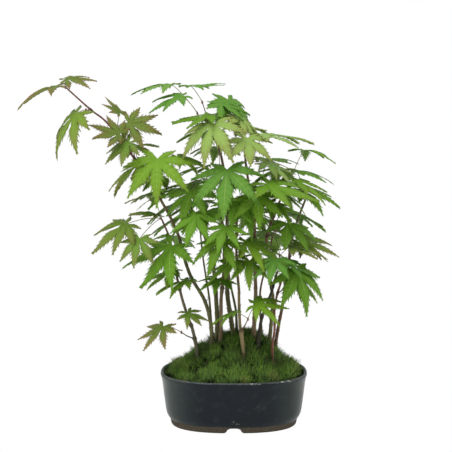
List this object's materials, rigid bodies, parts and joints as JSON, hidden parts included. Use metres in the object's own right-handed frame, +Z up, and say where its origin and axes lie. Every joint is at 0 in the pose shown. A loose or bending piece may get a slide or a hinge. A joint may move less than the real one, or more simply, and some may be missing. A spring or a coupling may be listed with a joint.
{
  "type": "bonsai tree in a pot",
  "caption": "Japanese maple forest bonsai: thin upright stems with palmate leaves, rooted in a mossy mound in an oval glazed pot.",
  "frame": {"origin": "on the ground at the bottom of the pot's foot, under the middle of the whole plant's box, so the pot's centre is 55 mm to the +X side and 3 mm to the front", "axes": "+Z up along the stems, +X along the pot's length to the right seen from the front, +Y to the back"},
  "size_m": [0.3232, 0.1812, 0.3541],
  "materials": {
    "glazed_stoneware": "gloss",
    "black_mesh": "matte",
    "brown_wire": "satin",
    "potting_soil": "matte",
    "moss": "matte",
    "bark": "matte",
    "leaf": "satin"
  },
  "bodies": {
    "root": {"pot": "glazed_stoneware", "drainage_screen_left": "black_mesh", "drainage_screen_right": "black_mesh", "screen_clip_left": "brown_wire", "screen_clip_right": "brown_wire", "soil": "potting_soil", "moss_back_right": "moss", "moss_back_left": "moss", "moss_front_left": "moss", "moss_front_right": "moss", "maple_stem_01": "bark", "leaf_spray_01": "leaf", "leaf_spray_02": "leaf", "leaf_spray_03": "leaf", "leaf_spray_04": "leaf", "leaf_spray_05": "leaf", "maple_stem_02": "bark", "leaf_spray_06": "leaf", "leaf_spray_07": "leaf", "leaf_spray_08": "leaf", "leaf_spray_09": "leaf", "leaf_spray_10": "leaf", "maple_stem_03": "bark", "leaf_spray_11": "leaf", "maple_stem_04": "bark", "leaf_spray_12": "leaf", "maple_stem_05": "bark", "leaf_spray_13": "leaf", "leaf_spray_14": "leaf", "leaf_spray_15": "leaf", "leaf_spray_16": "leaf", "maple_stem_06": "bark", "leaf_spray_17": "leaf", "leaf_spray_18": "leaf", "leaf_spray_19": "leaf", "leaf_spray_20": "leaf", "maple_stem_07": "bark", "leaf_spray_21": "leaf", "maple_stem_08": "bark", "leaf_spray_22": "leaf", "leaf_spray_23": "leaf", "leaf_spray_24": "leaf", "maple_stem_09": "bark", "leaf_spray_25": "leaf", "leaf_spray_26": "leaf", "leaf_spray_27": "leaf", "maple_stem_10": "bark", "leaf_spray_28": "leaf", "maple_stem_11": "bark", "leaf_spray_29": "leaf", "maple_stem_12": "bark", "leaf_spray_30": "leaf", "leaf_spray_31": "leaf", "leaf_spray_32": "leaf", "maple_stem_13": "bark", "leaf_spray_33": "leaf", "leaf_spray_34": "leaf", "maple_stem_14": "bark", "leaf_spray_35": "leaf", "leaf_spray_36": "leaf"}
  },
  "joints": []
}
